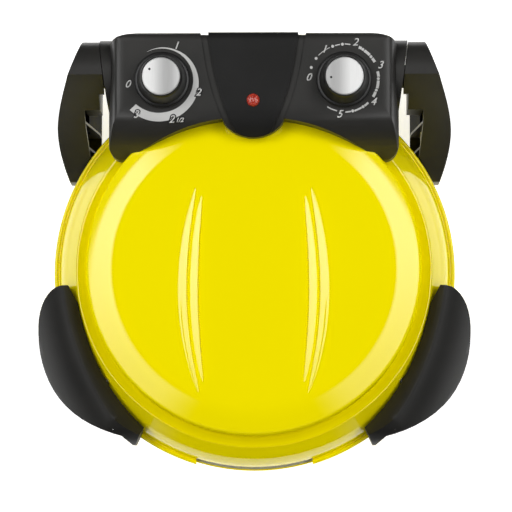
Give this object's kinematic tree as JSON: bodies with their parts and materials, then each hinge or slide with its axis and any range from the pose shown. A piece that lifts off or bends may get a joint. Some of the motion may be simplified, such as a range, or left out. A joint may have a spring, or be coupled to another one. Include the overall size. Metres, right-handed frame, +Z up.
{
  "type": "electric pizza maker",
  "caption": "Round countertop pizza oven with a stone bed, a heated domed lid on a rear hinge, side handles and a rear control housing with a temperature knob and a timer knob.",
  "frame": {"origin": "centre of the outline at the level of the feet's undersides", "axes": "+X to the user's right, +Y to the rear with the hinge, +Z up"},
  "size_m": [0.375, 0.375, 0.1988],
  "materials": {
    "yellow_paint": "glossy yellow enamel",
    "inner_sheet": "satin pressed sheet",
    "stone": "fired refractory clay, matt",
    "heater_sheath": "heat-darkened tube",
    "steel": "zinc-plated",
    "ceramic": "unglazed",
    "black_moulding": "satin black heat-resistant moulding",
    "panel_black": "smooth black",
    "rubber": "matt",
    "lead_sleeve": "braided sleeve",
    "red_lens": "faceted red lens",
    "lamp_body": "off-white",
    "control_body": "moulded body",
    "capillary": "copper tube",
    "bell": "plated bell",
    "knob_black": "satin black",
    "brushed_cap": "brushed face"
  },
  "bodies": {
    "base": {"base_pan": "yellow_paint", "pan_liner": "inner_sheet", "stone": "stone", "stone_clips": "steel", "lower_element": "heater_sheath", "lower_element_clips": "steel", "lower_terminals": "ceramic", "hinge_bracket_left": "black_moulding", "hinge_bracket_right": "black_moulding", "bracket_covers": "black_moulding", "hinge_pin_left": "steel", "hinge_pin_right": "steel", "hinge_washers": "lamp_body", "hinge_clips": "steel", "lower_handle_left": "black_moulding", "lower_handle_right": "black_moulding", "foot_pads": "rubber", "base_screws": "steel", "bridge_lead": "lead_sleeve"},
    "lid": {"lid_dome": "yellow_paint", "lid_liner": "inner_sheet", "upper_element": "heater_sheath", "upper_element_clips": "steel", "upper_terminals": "ceramic", "control_housing": "black_moulding", "housing_base": "black_moulding", "centre_panel": "panel_black", "pilot_lens": "red_lens", "pilot_lamp": "lamp_body", "thermostat": "control_body", "thermostat_bulb": "capillary", "timer": "control_body", "timer_bell": "bell", "terminal_block": "ceramic", "thermal_fuse": "ceramic", "cord_gland": "black_moulding", "lid_handle_left": "black_moulding", "lid_handle_right": "black_moulding", "lid_screws": "steel"},
    "temperature_dial": {"temp_knob": "knob_black", "temp_cap": "brushed_cap", "temp_shaft": "steel"},
    "timer_dial": {"timer_knob": "knob_black", "timer_cap": "brushed_cap", "timer_shaft": "steel"}
  },
  "joints": [
    {"name": "lid_hinge", "type": "hinge", "parent": "base", "child": "lid", "pos_m": [0, 0.1505, 0.136], "axis": [-1, 0, 0], "range_deg": [0, 100]},
    {"name": "temperature_turn", "type": "hinge", "parent": "lid", "child": "temperature_dial", "pos_m": [-0.0772, 0.1419, 0.176], "axis": [0, 0, 1], "range_deg": [-274, 40]},
    {"name": "timer_turn", "type": "hinge", "parent": "lid", "child": "timer_dial", "pos_m": [0.0772, 0.1419, 0.176], "axis": [0, 0, 1], "range_deg": [-271, 0]}
  ]
}
